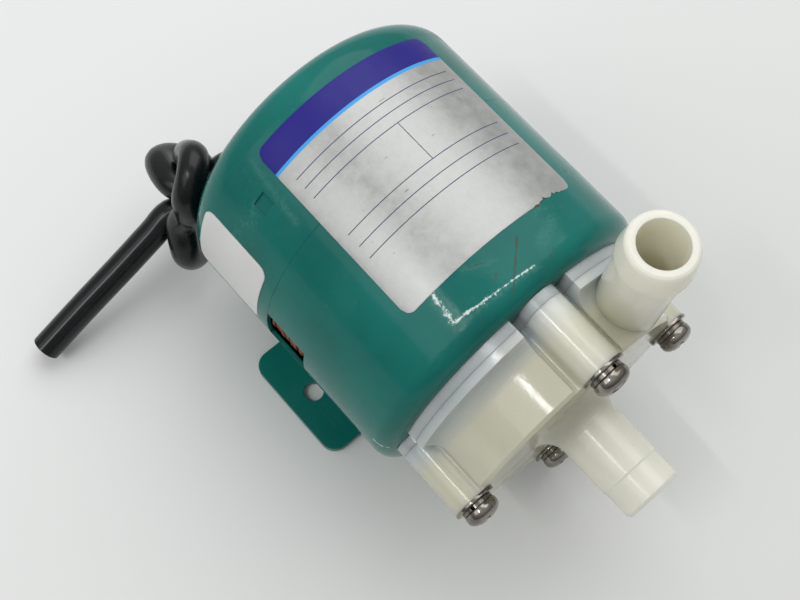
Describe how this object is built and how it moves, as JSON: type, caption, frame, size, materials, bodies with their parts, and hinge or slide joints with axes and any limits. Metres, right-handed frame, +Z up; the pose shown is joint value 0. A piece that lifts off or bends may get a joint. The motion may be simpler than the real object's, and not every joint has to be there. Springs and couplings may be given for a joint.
{
  "type": "magnetic drive pump",
  "caption": "Small foot-mounted magnetic drive centrifugal pump with a plastic head, hose spigots and a round enamelled motor shell.",
  "frame": {"origin": "underside of the base plate, midway between its two holes", "axes": "+Z up, +Y along the pump axis towards the motor's rear, +X to the discharge spigot's side"},
  "size_m": [0.1181, 0.1418, 0.0929],
  "materials": {
    "casing_plastic": "natural polypropylene, satin, slightly translucent",
    "bracket_plastic": "bluish white polypropylene, satin",
    "impeller_plastic": "natural polypropylene",
    "seal_rubber": "moulded rubber",
    "cord_rubber": "black cord jacket, semi gloss",
    "black_plastic": "moulded phenolic",
    "ceramic": "ground alumina",
    "carbon": "machined carbon",
    "ferrite": "sintered ferrite",
    "nickel_plate": "nickel plated steel",
    "spring_steel": "spring steel",
    "plain_steel": "machined steel",
    "lamination_steel": "stacked sheet",
    "cast_aluminium": "die cast",
    "bronze": "sintered bronze",
    "green_enamel": "glossy green enamel, lightly worn",
    "varnished_copper": "varnished winding",
    "bare_copper": "cut copper"
  },
  "bodies": {
    "pump": {"front_casing": "casing_plastic", "rear_casing": "casing_plastic", "casing_o_ring": "seal_rubber", "spindle": "ceramic", "front_thrust_washer": "ceramic", "rear_thrust_washer": "ceramic", "bracket": "bracket_plastic", "casing_screws": "nickel_plate", "spring_washers": "spring_steel", "flat_washers": "nickel_plate", "weld_nuts": "plain_steel", "front_shell": "green_enamel", "rear_shell": "green_enamel", "base_plate": "green_enamel", "base_welds": "green_enamel", "bearing_plate": "plain_steel", "front_bearing": "bronze", "rear_bearing": "bronze", "stator_core": "lamination_steel", "stator_windings": "varnished_copper", "thermal_protector": "black_plastic", "cord_grommet": "cord_rubber", "power_cord": "cord_rubber", "cord_conductors": "bare_copper"},
    "rotor": {"motor_shaft": "plain_steel", "rotor_core": "lamination_steel", "rotor_cage": "cast_aluminium", "drive_yoke": "plain_steel", "drive_magnet": "ferrite", "yoke_set_screw": "spring_steel"},
    "impeller_set": {"impeller": "impeller_plastic", "impeller_bush": "carbon", "impeller_magnet": "ferrite", "impeller_magnet_cap": "impeller_plastic"}
  },
  "joints": [
    {"name": "rotor_spin", "type": "hinge", "parent": "pump", "child": "rotor", "pos_m": [0, 0, 0.0395], "axis": [0, -1, 0], "continuous": true},
    {"name": "impeller_spin", "type": "hinge", "parent": "pump", "child": "impeller_set", "pos_m": [0, 0, 0.0395], "axis": [0, -1, 0], "continuous": true}
  ],
  "couplings": [
    {"joint": "impeller_spin", "follows": "rotor_spin", "ratio": 1}
  ]
}
